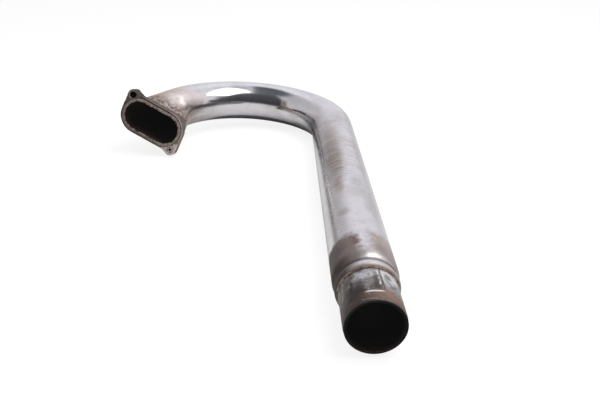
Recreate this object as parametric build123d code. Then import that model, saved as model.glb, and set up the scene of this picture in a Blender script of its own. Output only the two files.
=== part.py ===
from build123d import *
from math import acos, asin, cos, pi, radians, sin, sqrt, tan
import os

os.makedirs("parts", exist_ok=True)

# Tube sizes, in millimetres; the inner pipe takes its size from the tube and the air between them
tube_od = 45.0
tube_wall = 1.0
air_gap = 3.1
pipe_wall = 1.2
fit_gap = 0.05

# Path from the mouth: straight leg, bend, then straight on to the flange face
leg_length = 352.3
bend_radius = 94.0
bend_angle = 163.1
port_reach = 42.2
flare_angle = 14.3

# Flange face against the end of the path: turned in the bend's plane, lifted out of it, rolled
face_turn = 9.8
face_lift = 13.2
face_roll = -20.8

# Port opening, a stadium: half the straight side and the end radius
port_half = 15.3
port_radius = 15.2
port_pipe_wall = 1.0

# Flange plate with a rim round the port and two ears on opposite corners
plate_thickness = 12.0
plate_rim = 3.0
ear_u = 30.1
ear_v = -17.0
ear_radius = 6.2
ear_foot = 8.3
foot_rounding = 5.0
stud_hole_d = 6.6
lip_height = 1.2
lip_overhang = 0.8
plate_rounding = 0.8
weld_leg = 2.2
bead_slope = 40.0

# Outlet: spigot round the inner pipe and the rolled end of the outer tube over it
sleeve_wall = 1.2
sleeve_tuck = 54.0
tuck_step = 0.2
pipe_recess = 1.2
lead_in = 0.4
lead_length = 4.0
rolled_end = 36.0
bead_top = 39.4
groove_at = 43.2
shoulder_end = 51.0
bead_rise = 0.9
seam_leg = 1.4

tube_r = tube_od / 2
pipe_r = tube_r - tube_wall - air_gap
sleeve_r = pipe_r + fit_gap + sleeve_wall
tuck_r = sleeve_r - tuck_step
weld_foot = rolled_end - seam_leg
groove_r = sleeve_r + fit_gap + tube_wall
port_pipe_r = port_radius + port_pipe_wall
port_tube_r = port_pipe_r + tube_wall
plate_radius = port_tube_r + plate_rim

# Path points, leg along Y from the mouth at the origin, bend in the XY plane
bend_centre = Vector(-bend_radius, leg_length, 0)
up = Vector(0, 0, 1)


def on_bend(angle):
    """Centreline point of the bend at an angle in degrees from its start"""
    return bend_centre + Vector(cos(radians(angle)), sin(radians(angle)), 0) * bend_radius


def heading_at(angle):
    return Vector(-sin(radians(angle)), cos(radians(angle)), 0)


bend_start = on_bend(0)
flare_start = on_bend(bend_angle - flare_angle)
flare_heading = heading_at(bend_angle - flare_angle)
heading = heading_at(bend_angle)
across = Vector(-heading.Y, heading.X, 0)
face_centre = on_bend(bend_angle) + heading * port_reach
face_normal = (heading + across * tan(radians(face_turn)) + up * tan(radians(face_lift))).normalized()


def rolled(normal):
    """Long direction of the section that looks along the normal"""
    level = (across - normal * across.dot(normal)).normalized()
    upright = normal.cross(level)
    return level * cos(radians(face_roll)) + upright * sin(radians(face_roll))


def section_plane(origin, normal):
    return Plane(origin=origin, x_dir=rolled(normal), z_dir=normal)


face_plane = section_plane(face_centre, face_normal)
back_plane = face_plane.offset(-plate_thickness)
seat_plane = back_plane.offset(-weld_leg)


def stadium(half, radius):
    return SlotCenterToCenter(2 * half, 2 * radius)


def stadium_prism(radius, start, length):
    return extrude(face_plane.offset(start) * stadium(port_half, radius), length)


def oval(share, round_radius, stadium_radius):
    """Four tangent arcs between a circle (share 0) and the port's stadium (share 1)"""
    end = port_half * share
    radius = round_radius + (stadium_radius - round_radius) * share
    angle = radians(60 + 30 * share)
    if share > 0.999:
        return stadium_by_curves(end, radius)
    corner = Vector(end + radius * cos(angle), radius * sin(angle))
    crest = radius + end * (1 - sin(angle)) / cos(angle)
    right = ThreePointArc((corner.X, -corner.Y), (end + radius, 0), (corner.X, corner.Y))
    top = ThreePointArc((corner.X, corner.Y), (0, crest), (-corner.X, corner.Y))
    left = ThreePointArc((-corner.X, corner.Y), (-end - radius, 0), (-corner.X, -corner.Y))
    bottom = ThreePointArc((-corner.X, -corner.Y), (0, -crest), (corner.X, -corner.Y))
    return make_face(right + top + left + bottom)


def stadium_by_curves(half, radius):
    right = ThreePointArc((half, -radius), (half + radius, 0), (half, radius))
    top = Line((half, radius), (-half, radius))
    left = ThreePointArc((-half, radius), (-half - radius, 0), (-half, -radius))
    bottom = Line((-half, -radius), (half, -radius))
    return make_face(right + top + left + bottom)


def neck(round_radius, stadium_radius):
    """Solid neck from the flare's start on the bend to the seat behind the flange"""
    last = seat_plane.origin
    reach = (last - flare_start).length
    stations = []
    for step in range(9):
        t = step / 8
        share = t * t * (3 - 2 * t)
        chord = flare_start * (1 - share) + last * share
        pull = flare_heading * (t * (1 - t) ** 2) + face_normal * (t * t * (t - 1))
        normal = (flare_heading * (1 - share) + face_normal * share).normalized()
        plane = section_plane(chord + pull * reach, normal)
        stations.append(plane * oval(share, round_radius, stadium_radius))
    return loft(stations)


def round_path(radius, start):
    """Solid leg and bend of one radius, from a point on the leg to the flare's start"""
    start_disc = Plane(origin=(0, start, 0), z_dir=(0, 1, 0)) * Circle(radius)
    leg = extrude(start_disc, leg_length - start)
    bend_disc = Plane(origin=bend_start, z_dir=(0, 1, 0)) * Circle(radius)
    bend = revolve(bend_disc, Axis(bend_centre, (0, 0, 1)), bend_angle - flare_angle)
    return leg + bend


def port_end(radius, height):
    """Solid stadium from the seat through the plate, to a height over the face"""
    return stadium_prism(radius, -plate_thickness - weld_leg, plate_thickness + weld_leg + height)


def shell(round_outer, round_inner, stadium_outer, stadium_inner, start, height):
    outside = round_path(round_outer, start) + neck(round_outer, stadium_outer) + port_end(stadium_outer, height)
    inside = round_path(round_inner, start) + neck(round_inner, stadium_inner) + port_end(stadium_inner, height)
    return outside - inside


# Outer tube: shell from the shoulder to the lip turned over the plate, with the rolled end over the spigot
def rolled_radius(y):
    """Outer radius of the rolled end: bead, groove, shoulder"""
    if y < bead_top:
        return groove_r + bead_rise * sin(pi / 2 * (y - rolled_end) / (bead_top - rolled_end))
    if y < groove_at:
        return groove_r + bead_rise * (1 + cos(pi * (y - bead_top) / (groove_at - bead_top))) / 2
    share = (y - groove_at) / (shoulder_end - groove_at)
    return groove_r + (tube_r - groove_r) * (1 - cos(pi * share)) / 2


rows = [rolled_end + (shoulder_end - rolled_end) * i / 26 for i in range(27)]
outer_line = Spline([(rolled_radius(y), y) for y in rows])
inner_line = Spline([(rolled_radius(y) - tube_wall, y) for y in rows])
foot = Line((groove_r - tube_wall, rolled_end), (groove_r, rolled_end))
top = Line((tube_r - tube_wall, shoulder_end), (tube_r, shoulder_end))
rolled_part = revolve(make_face(outer_line + inner_line + foot + top), Axis.Y)
tube_shell = shell(tube_r, tube_r - tube_wall, port_tube_r, port_pipe_r, shoulder_end, lip_height)
lip_ring = stadium_prism(port_tube_r + lip_overhang, 0, lip_height) - stadium_prism(port_pipe_r, 0, lip_height)
outer_tube = tube_shell + rolled_part + lip_ring

# Inner pipe, joined to the outer tube inside the flange and free in the spigot
inner_pipe = shell(pipe_r, pipe_r - pipe_wall, port_pipe_r, port_radius, pipe_recess, lip_height)

# Spigot with a slight lead-in at the mouth, and a stretch drawn in to go under the rolled end
sleeve_points = [
    (sleeve_r - lead_in, 0),
    (sleeve_r, lead_length),
    (sleeve_r, weld_foot),
    (tuck_r, weld_foot),
    (tuck_r, sleeve_tuck),
    (sleeve_r - sleeve_wall, sleeve_tuck),
    (sleeve_r - sleeve_wall, 0),
]
outlet_sleeve = revolve(make_face(Polyline(sleeve_points, close=True)), Axis.Y)

# Weld bead between the rolled end and the spigot
seam_crown = (sleeve_r + 0.65 * (groove_r - sleeve_r), rolled_end - 0.65 * seam_leg)
seam_sides = Polyline((sleeve_r, weld_foot), (tuck_r, weld_foot), (tuck_r, rolled_end), (groove_r, rolled_end))
seam_face = make_face(seam_sides + ThreePointArc((groove_r, rolled_end), seam_crown, (sleeve_r, weld_foot)))
outlet_weld = revolve(seam_face, Axis.Y)

# Flange plate with its ears, stud holes and the hole for the tube's end
end_centre = Vector(port_half, 0)
ear_centre = Vector(ear_u, ear_v)
foot_point = Vector(ear_u - ear_foot, -plate_radius)


def turned(vector, angle):
    return Vector(vector.X * cos(angle) - vector.Y * sin(angle), vector.X * sin(angle) + vector.Y * cos(angle))


def half_outline(side):
    """One long edge, its ear and the end arc; the other half is the same turned round"""
    to_ear = ear_centre - foot_point
    touch = sqrt(to_ear.length**2 - ear_radius**2)
    slope = to_ear.normalized() * touch
    low = foot_point + turned(slope, -asin(ear_radius / to_ear.length))
    apart = ear_centre - end_centre
    spread = acos((plate_radius - ear_radius) / apart.length)
    side_normal = turned(apart.normalized(), spread)
    ear_tip = ear_centre + turned(side_normal, -0.9) * ear_radius
    ear_end = ear_centre + side_normal * ear_radius
    arc_start = end_centre + side_normal * plate_radius
    arc_middle = end_centre + turned(side_normal, 0.7) * plate_radius
    points = [(-port_half, -plate_radius), foot_point, low, ear_tip, ear_end, arc_start, arc_middle]
    points.append((port_half, plate_radius))
    start, foot_at, low_at, tip_at, ear_at, arc_at, middle_at, last = [Vector(p) * side for p in points]
    flank = Line(start, foot_at) + Line(foot_at, low_at) + ThreePointArc(low_at, tip_at, ear_at)
    return flank + Line(ear_at, arc_at) + ThreePointArc(arc_at, middle_at, last)


outline = make_face(half_outline(1) + half_outline(-1))
feet = [v for v in outline.vertices() if abs(abs(v.X) - foot_point.X) < 0.01]
outline = fillet(feet, foot_rounding)
slab = extrude(face_plane * outline, -plate_thickness)
rims = slab.faces().filter_by(lambda f: abs(f.normal_at().dot(face_normal)) > 0.99).edges()
slab = fillet(rims, plate_rounding)
for side in (1, -1):
    hole_disc = face_plane * Pos(side * ear_u, side * ear_v) * Circle(stud_hole_d / 2)
    slab -= extrude(hole_disc, -plate_thickness)
port_flange = slab - stadium_prism(port_tube_r + fit_gap, -plate_thickness, plate_thickness)

# Weld bead round the neck, behind the flange
bead_disc = back_plane * stadium(port_half, port_tube_r + weld_leg)
flange_weld = extrude(bead_disc, -weld_leg, taper=bead_slope)
flange_weld -= stadium_prism(port_tube_r, -plate_thickness - weld_leg, weld_leg)

# Pose: the leg and the low ear both rest on the table, Z = 0
pieces = {
    "port_flange": port_flange,
    "flange_weld": flange_weld,
    "outer_tube": outer_tube,
    "inner_pipe": inner_pipe,
    "outlet_sleeve": outlet_sleeve,
    "outlet_weld": outlet_weld,
}
least_tilt = 0.0
most_tilt = 15.0
for step in range(14):
    tilt = (least_tilt + most_tilt) / 2
    ear_low = (Rot(0, tilt, 0) * port_flange).bounding_box().min.Z
    if ear_low < -tube_r:
        least_tilt = tilt
    else:
        most_tilt = tilt
lying = Compound([Rot(0, tilt, 0) * piece for piece in pieces.values()])
box = lying.bounding_box()
middle = Pos(-(box.min.X + box.max.X) / 2, -(box.min.Y + box.max.Y) / 2, tube_r)
for name, piece in pieces.items():
    export_step(middle * Rot(0, tilt, 0) * piece, "parts/" + name + ".step")

# Facts for the record
def placed(vector):
    turned_point = Rot(0, tilt, 0) * Pos(*tuple(vector))
    return (middle * turned_point).position


print("tilt", round(tilt, 3), "size", box.size, "shift", middle.position)
print("mouth", placed(Vector(0, 0, 0)), "face", placed(face_centre))
print("face normal", placed(face_centre + face_normal) - placed(face_centre))
print("face long direction", placed(face_centre + face_plane.x_dir) - placed(face_centre))
for side in (1, -1):
    stud = face_centre + face_plane.x_dir * side * ear_u + face_plane.y_dir * side * ear_v
    print("stud hole", placed(stud))
print("bend centre", placed(bend_centre), "bend start", placed(bend_start), "flare start", placed(flare_start))
for name, piece in pieces.items():
    print(name, round(piece.volume, 1), "mm3", (middle * Rot(0, tilt, 0) * piece).bounding_box())
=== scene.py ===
import bpy
import bmesh
import numpy as np
from math import atan2, cos, degrees, pi, radians, sin, tan
from mathutils import Matrix, Vector, noise


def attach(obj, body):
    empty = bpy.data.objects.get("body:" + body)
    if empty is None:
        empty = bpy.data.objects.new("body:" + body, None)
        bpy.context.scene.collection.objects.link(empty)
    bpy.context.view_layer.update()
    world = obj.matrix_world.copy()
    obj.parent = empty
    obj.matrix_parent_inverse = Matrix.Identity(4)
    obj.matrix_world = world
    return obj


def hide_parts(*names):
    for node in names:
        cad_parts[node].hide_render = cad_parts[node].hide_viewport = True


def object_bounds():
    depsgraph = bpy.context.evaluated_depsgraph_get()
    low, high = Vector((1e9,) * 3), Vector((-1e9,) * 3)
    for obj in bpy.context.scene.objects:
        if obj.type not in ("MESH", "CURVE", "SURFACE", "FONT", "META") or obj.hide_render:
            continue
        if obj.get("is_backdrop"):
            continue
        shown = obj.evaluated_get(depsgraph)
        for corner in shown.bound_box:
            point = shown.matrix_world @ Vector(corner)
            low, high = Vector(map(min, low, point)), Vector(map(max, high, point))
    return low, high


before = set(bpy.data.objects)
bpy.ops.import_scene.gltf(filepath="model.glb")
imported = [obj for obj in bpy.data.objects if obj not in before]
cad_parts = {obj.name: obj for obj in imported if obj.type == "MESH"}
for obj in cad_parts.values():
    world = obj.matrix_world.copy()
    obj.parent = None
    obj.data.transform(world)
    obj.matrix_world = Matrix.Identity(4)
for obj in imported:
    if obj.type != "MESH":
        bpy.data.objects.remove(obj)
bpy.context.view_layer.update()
print("frame loaded")

# Where the pipe runs, in metres, from the middle of the outlet mouth
route = {
    "legLength": 0.3523,
    "bendRadius": 0.094,
    "bendAngle": 163.1,
    "flareAngle": 14.3,
    "portReach": 0.0422,
    "faceTurn": 9.8,
    "faceLift": 13.2,
    "faceRoll": -20.8,
    "portHalf": 0.0153,
    "plateThickness": 0.012,
    "weldLeg": 0.0022,
    "lipHeight": 0.0012,
    "tilt": 4.172,
    "mouth": (0.103273, -0.2344, 0.0225),
}
# end arcs of a section, in degrees: 60 on the round tube, and this much more at the port
sectionArc = {"round": 60, "gain": 29.8}
wallMesh = {"mergeDistance": 0.000004, "sharpAngle": 0.7}
lying = Matrix.Translation(Vector(route["mouth"])) @ Matrix.Rotation(radians(route["tilt"]), 4, "Y")
up = Vector((0, 0, 1))
bendCentre = Vector((-route["bendRadius"], route["legLength"], 0))


def onBend(angle):
    return bendCentre + Vector((cos(radians(angle)), sin(radians(angle)), 0)) * route["bendRadius"]


def headingAt(angle):
    return Vector((-sin(radians(angle)), cos(radians(angle)), 0))


flareAt = route["bendAngle"] - route["flareAngle"]
flareStart = onBend(flareAt)
flareHeading = headingAt(flareAt)
lastHeading = headingAt(route["bendAngle"])
across = Vector((-lastHeading.y, lastHeading.x, 0))
faceCentre = onBend(route["bendAngle"]) + lastHeading * route["portReach"]
faceNormal = lastHeading + across * tan(radians(route["faceTurn"])) + up * tan(radians(route["faceLift"]))
faceNormal.normalize()
seatDepth = route["plateThickness"] + route["weldLeg"]
seatCentre = faceCentre - faceNormal * seatDepth
bendStartAlong = route["legLength"]
neckStartAlong = bendStartAlong + route["bendRadius"] * radians(flareAt)
neckReach = (seatCentre - flareStart).length
faceAlong = neckStartAlong + neckReach + seatDepth


def ringOf(centre, normal, level, half, radius, along, share=0.0, ripple=0.0):
    # level is the section's flat direction before the roll
    level = (level - normal * level.dot(normal)).normalized()
    upright = normal.cross(level)
    roll = radians(route["faceRoll"])
    sideways = level * cos(roll) + upright * sin(roll)
    arc = radians(sectionArc["round"] + sectionArc["gain"] * share)
    return {
        "centre": centre, "sideways": sideways, "upright": normal.cross(sideways), "halfSpan": half,
        "endRadius": radius, "arcAngle": arc, "along": along, "ripple": ripple,
    }


def legRing(y, radius, ripple=0.0):
    return ringOf(Vector((0, y, 0)), Vector((0, 1, 0)), Vector((-1, 0, 0)), 0, radius, y, 0, ripple)


def bendRing(angle, radius):
    outward = onBend(angle) - bendCentre
    along = bendStartAlong + route["bendRadius"] * radians(angle)
    return ringOf(onBend(angle), headingAt(angle), -outward, 0, radius, along)


def neckRing(t, roundRadius, stadiumRadius):
    share = t * t * (3 - 2 * t)
    pull = flareHeading * (t * (1 - t) ** 2) + faceNormal * (t * t * (t - 1))
    centre = flareStart * (1 - share) + seatCentre * share + pull * neckReach
    normal = (flareHeading * (1 - share) + faceNormal * share).normalized()
    radius = roundRadius + (stadiumRadius - roundRadius) * share
    along = neckStartAlong + neckReach * t
    return ringOf(centre, normal, across, route["portHalf"] * share, radius, along, share)


def portRing(height, radius, ripple=0.0):
    # height is over the flange face
    centre = faceCentre + faceNormal * height
    return ringOf(centre, faceNormal, across, route["portHalf"], radius, faceAlong + height, 1, ripple)


def spaced(start, end, count):
    return [start + (end - start) * i / count for i in range(count + 1)]


def pathRings(startY, roundRadius, stadiumRadius, legCount, bendCount, neckCount, endHeight):
    # from a point on the leg to a height over the flange face
    rings = [legRing(y, roundRadius) for y in spaced(startY, route["legLength"], legCount)]
    rings += [bendRing(a, roundRadius) for a in spaced(0, flareAt, bendCount)[1:]]
    rings += [neckRing(t, roundRadius, stadiumRadius) for t in spaced(0, 1, neckCount)[1:]]
    rings += [portRing(h, stadiumRadius) for h in spaced(-seatDepth, endHeight, 4)[1:]]
    return rings


def lipRings(outer, inner, height, rounding):
    # rounded edge of a wall that ends over the flange face
    turns = spaced(0, pi / 2, 4)
    low, outerMiddle, innerMiddle = height - rounding, outer - rounding, inner + rounding
    over = [portRing(low + rounding * sin(a), outerMiddle + rounding * cos(a)) for a in turns]
    back = [portRing(low + rounding * cos(a), innerMiddle - rounding * sin(a)) for a in turns]
    return over + back


# Nodes: small helpers
def feed(socket, value):
    if isinstance(value, bpy.types.NodeSocket):
        socket.id_data.links.new(value, socket)
    else:
        socket.default_value = value


def addNode(tree, kind, given=(), **settings):
    # given is what each input gets
    node = tree.nodes.new(kind)
    for key, value in settings.items():
        setattr(node, key, value)
    for label, value in dict(given).items():
        feed(node.inputs[label], value)
    return node


def treeOf(values):
    # the node tree of the first socket among the values
    return next(v for v in values if isinstance(v, bpy.types.NodeSocket)).id_data


def maths(operation, *values):
    return addNode(treeOf(values), "ShaderNodeMath", enumerate(values), operation=operation).outputs[0]


def times(*shares):
    product = shares[0]
    for share in shares[1:]:
        product = maths("MULTIPLY", product, share)
    return product


def vectors(operation, first, second):
    given = {0: first, (3 if operation == "SCALE" else 1): second}
    return addNode(treeOf((first, second)), "ShaderNodeVectorMath", given, operation=operation).outputs[0]


def sweptWallTree():
    # lays a closed wall over a row of rings: two end arcs joined by two flatter arcs
    tree = bpy.data.node_groups.new("sweptWall", "GeometryNodeTree")
    face = tree.interface
    face.new_socket("Rings", in_out="INPUT", socket_type="NodeSocketGeometry")
    numbers = [("Around", "Int", 96), ("Ripple Height", "Float", 0.0)]
    numbers += [("Ripple Count", "Float", 60.0), ("Angle Shift", "Float", 0.0)]
    for label, kind, value in numbers:
        face.new_socket(label, in_out="INPUT", socket_type="NodeSocket" + kind).default_value = value
    face.new_socket("Material", in_out="INPUT", socket_type="NodeSocketMaterial")
    face.new_socket("Wall", in_out="OUTPUT", socket_type="NodeSocketGeometry")
    given = addNode(tree, "NodeGroupInput").outputs
    size = addNode(tree, "GeometryNodeAttributeDomainSize", {0: given["Rings"]}, component="MESH")
    rows = size.outputs["Point Count"]
    counts = {"Vertices X": rows, "Vertices Y": maths("ADD", given["Around"], 1.0)}
    grid = addNode(tree, "GeometryNodeMeshGrid", counts)
    place = addNode(tree, "ShaderNodeSeparateXYZ", {0: grid.outputs["UV Map"]})
    row = maths("ROUND", times(place.outputs[0], maths("SUBTRACT", rows, 1.0)))
    turn = times(place.outputs[1], 2 * pi)

    def sampled(name, kind="FLOAT"):
        if name == "position":
            value = addNode(tree, "GeometryNodeInputPosition").outputs[0]
        else:
            value = addNode(tree, "GeometryNodeInputNamedAttribute", {"Name": name}, data_type=kind).outputs[0]
        sample = {0: given["Rings"], 1: value, 2: row}
        return addNode(tree, "GeometryNodeSampleIndex", sample, data_type=kind, domain="POINT").outputs[0]

    half = sampled("halfSpan")
    arc = sampled("arcAngle")
    halfCount = times(given["Ripple Count"], 0.5)
    waves = maths("ABSOLUTE", maths("SINE", times(turn, halfCount)))
    rise = times(waves, given["Ripple Height"], sampled("ripple"))
    radius = maths("ADD", sampled("endRadius"), rise)
    folded = maths("PINGPONG", turn, pi / 2)
    onEnd = maths("LESS_THAN", folded, pi / 3)
    endAngle = times(folded, times(arc, 3 / pi))
    endX = maths("ADD", half, times(radius, maths("COSINE", endAngle)))
    endY = times(radius, maths("SINE", endAngle))
    spread = maths("SUBTRACT", pi / 2, arc)
    flatAngle = times(maths("SUBTRACT", pi / 2, folded), 6 / pi, spread)
    flatRadius = maths("ADD", radius, maths("DIVIDE", half, maths("COSINE", arc)))
    flatX = times(flatRadius, maths("SINE", flatAngle))
    more = maths("SINE", times(maths("ADD", spread, flatAngle), 0.5))
    less = maths("SINE", times(maths("SUBTRACT", spread, flatAngle), 0.5))
    crown = times(more, less, times(flatRadius, 2.0))
    flatY = maths("ADD", times(radius, maths("SINE", arc)), crown)

    def chosen(whenEnd, otherwise, sign):
        mixed = maths("MULTIPLY_ADD", maths("SUBTRACT", whenEnd, otherwise), onEnd, otherwise)
        return times(mixed, maths("SIGN", sign))

    x = chosen(endX, flatX, maths("COSINE", turn))
    y = chosen(endY, flatY, maths("SINE", turn))
    aside = vectors("SCALE", sampled("sideways", "FLOAT_VECTOR"), x)
    above = vectors("SCALE", sampled("upright", "FLOAT_VECTOR"), y)
    offset = vectors("ADD", aside, above)
    position = vectors("ADD", sampled("position", "FLOAT_VECTOR"), offset)
    laid = addNode(tree, "GeometryNodeSetPosition", {"Geometry": grid.outputs["Mesh"], "Position": position})
    pipeTurn = maths("ADD", turn, given["Angle Shift"])
    where = addNode(tree, "ShaderNodeCombineXYZ", {0: sampled("along"), 1: pipeTurn}).outputs[0]
    named = {"Geometry": laid.outputs[0], "Name": "pipePlace", "Value": where}
    stored = addNode(tree, "GeometryNodeStoreNamedAttribute", named, data_type="FLOAT_VECTOR", domain="CORNER")
    merging = {"Geometry": stored.outputs[0], "Distance": wallMesh["mergeDistance"]}
    closed = addNode(tree, "GeometryNodeMergeByDistance", merging)
    outwards = addNode(tree, "GeometryNodeFlipFaces", {0: closed.outputs[0]})
    edgeAngle = addNode(tree, "GeometryNodeInputMeshEdgeAngle").outputs[0]
    sharp = maths("GREATER_THAN", edgeAngle, wallMesh["sharpAngle"])
    shading = {"Geometry": outwards.outputs[0], "Selection": sharp, "Shade Smooth": False}
    smooth = addNode(tree, "GeometryNodeSetShadeSmooth", shading, domain="EDGE")
    real = addNode(tree, "GeometryNodeRealizeInstances", {0: smooth.outputs[0]})
    paint = {"Geometry": real.outputs[0], "Material": given["Material"]}
    painted = addNode(tree, "GeometryNodeSetMaterial", paint)
    addNode(tree, "NodeGroupOutput", {0: painted.outputs[0]})
    return tree


sweptWall = sweptWallTree()


def setInput(modifier, label, value):
    for item in modifier.node_group.interface.items_tree:
        if item.item_type == "SOCKET" and item.in_out == "INPUT" and item.name == label:
            modifier[item.identifier] = value


def settle(piece):
    # the evaluated result becomes the piece's own plain mesh
    graph = bpy.context.evaluated_depsgraph_get()
    ready = piece.evaluated_get(graph)
    made = bpy.data.meshes.new_from_object(ready, preserve_all_data_layers=True, depsgraph=graph)
    old = piece.data
    piece.modifiers.clear()
    piece.data = made
    bpy.data.meshes.remove(old)
    made.name = piece.name


def placed(name, data):
    thing = bpy.data.objects.new(name, data)
    bpy.context.scene.collection.objects.link(thing)
    return thing


def sweptPiece(name, rings, material, around, rippleHeight=0.0, rippleCount=60.0):
    rings = rings + [rings[0]]
    mesh = bpy.data.meshes.new(name)
    mesh.from_pydata([lying @ r["centre"] for r in rings], [], [])
    turned = lying.to_3x3()
    for key in ("sideways", "upright"):
        layer = mesh.attributes.new(key, "FLOAT_VECTOR", "POINT")
        layer.data.foreach_set("vector", np.array([turned @ r[key] for r in rings], float).ravel())
    for key in ("halfSpan", "endRadius", "arcAngle", "along", "ripple"):
        layer = mesh.attributes.new(key, "FLOAT", "POINT")
        layer.data.foreach_set("value", [r[key] for r in rings])
    piece = placed(name, mesh)
    modifier = piece.modifiers.new("sweptWall", "NODES")
    modifier.node_group = sweptWall
    setInput(modifier, "Around", around)
    setInput(modifier, "Ripple Height", rippleHeight)
    setInput(modifier, "Ripple Count", rippleCount)
    setInput(modifier, "Angle Shift", radians(route["faceRoll"] + route["tilt"] - 90))
    setInput(modifier, "Material", material)
    settle(piece)
    print(name, "made,", len(piece.data.polygons), "faces")
    return piece


# Finishes: small helpers
def newFinish(name):
    material = bpy.data.materials.new(name)
    material.use_nodes = True
    return material, material.node_tree, material.node_tree.nodes["Principled BSDF"]


def objectPlace(tree):
    return addNode(tree, "ShaderNodeTexCoord").outputs["Object"]


def surfacePlace(tree):
    # object coordinates, millimetres along the pipe and degrees round from its top
    stored = addNode(tree, "ShaderNodeAttribute", attribute_name="pipePlace").outputs["Vector"]
    parts = addNode(tree, "ShaderNodeSeparateXYZ", {0: stored})
    return objectPlace(tree), times(parts.outputs[0], 1000.0), times(parts.outputs[1], 180 / pi)


def ownValue(tree, name):
    return addNode(tree, "ShaderNodeAttribute", attribute_name=name).outputs["Fac"]


def grain(where, scale, detail=3.0, roughness=0.6):
    given = {"Vector": where, "Scale": scale, "Detail": detail, "Roughness": roughness}
    return addNode(where.id_data, "ShaderNodeTexNoise", given).outputs[0]


def fade(value, low, high):
    # smooth step from 0 at low to 1 at high
    given = {"Value": value, "From Min": low, "From Max": high}
    return addNode(value.id_data, "ShaderNodeMapRange", given, interpolation_type="SMOOTHSTEP").outputs[0]


def spots(where, pattern):
    # noise as spots: its scale, detail and roughness, then where a spot begins and where it is full
    scale, detail, roughness, low, high = pattern
    return fade(grain(where, scale, detail, roughness), low, high)


def scaled(value, factor, base):
    # value times factor, added to a base
    return maths("MULTIPLY_ADD", value, factor, base)


def ranged(value, low, high):
    # a share of 0 to 1 laid between two values
    return scaled(value, high - low, low)


def blended(share, first, second):
    first, second = ((*value, 1) if isinstance(value, tuple) else value for value in (first, second))
    return addNode(share.id_data, "ShaderNodeMix", {0: share, 6: first, 7: second}, data_type="RGBA").outputs[2]


def highest(*shares):
    top = shares[0]
    for share in shares[1:]:
        top = maths("MAXIMUM", top, share)
    return top


def stain(at, reach, colour, strength, ragged, soft, scale=160, square=2, cover=0.85, ringed=False):
    # at and reach are millimetres along and degrees round; cover is how much gloss the stain takes
    return {
        "at": at, "reach": reach, "colour": colour, "strength": strength, "ragged": ragged,
        "soft": soft, "scale": scale, "square": square, "cover": cover, "ringed": ringed,
    }


def stroke(start, end, width, colour, strength):
    # start and end are millimetres along and degrees round
    return {"start": start, "end": end, "width": width, "colour": colour, "strength": strength}


def stainShare(surface, mark):
    where, along, turn = surface
    sides = []
    for value, middle, half in zip((along, turn), mark["at"], mark["reach"]):
        away = times(maths("SUBTRACT", value, middle), 1 / half)
        sides.append(maths("POWER", maths("ABSOLUTE", away), mark["square"]))
    away = maths("POWER", maths("ADD", *sides), 1 / mark["square"])
    rough = maths("SUBTRACT", grain(where, mark["scale"]), 0.5)
    away = scaled(rough, mark["ragged"], away)
    return times(fade(away, 1 + mark["soft"], 1 - mark["soft"]), mark["strength"])


strokeLook = {"wanderScale": 260, "wander": 1.6, "breaks": (330, 4, 0.6, 0.34, 0.56), "fullWidth": 0.2}


def strokeShare(surface, radius, mark):
    look = strokeLook
    where, along, turn = surface
    tree = along.id_data
    (startAlong, startTurn), (endAlong, endTurn) = mark["start"], mark["end"]
    start = Vector((startAlong, radians(startTurn) * radius, 0))
    run = Vector((endAlong, radians(endTurn) * radius, 0)) - start
    place = addNode(tree, "ShaderNodeCombineXYZ", {0: along, 1: times(turn, radians(1) * radius)})
    offset = vectors("SUBTRACT", place.outputs[0], start)
    dot = {0: offset, 1: run / run.length_squared}
    onRun = addNode(tree, "ShaderNodeVectorMath", dot, operation="DOT_PRODUCT").outputs["Value"]
    share = addNode(tree, "ShaderNodeClamp", {0: onRun})
    aside = vectors("SUBTRACT", offset, vectors("SCALE", run, share.outputs[0]))
    length = addNode(tree, "ShaderNodeVectorMath", {0: aside}, operation="LENGTH")
    wander = maths("SUBTRACT", grain(where, look["wanderScale"]), 0.5)
    away = scaled(wander, look["wander"], length.outputs["Value"])
    inside = fade(away, mark["width"], mark["width"] * look["fullWidth"])
    return times(inside, spots(where, look["breaks"]), mark["strength"])


def dress(shader, colour, roughness, metallic=0.0):
    feed(shader.inputs["Base Color"], colour)
    feed(shader.inputs["Roughness"], roughness)
    feed(shader.inputs["Metallic"], metallic)


def raised(shader, height, strength, distance):
    given = {"Strength": strength, "Distance": distance, "Height": height}
    feed(shader.inputs["Normal"], addNode(height.id_data, "ShaderNodeBump", given).outputs[0])


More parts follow.
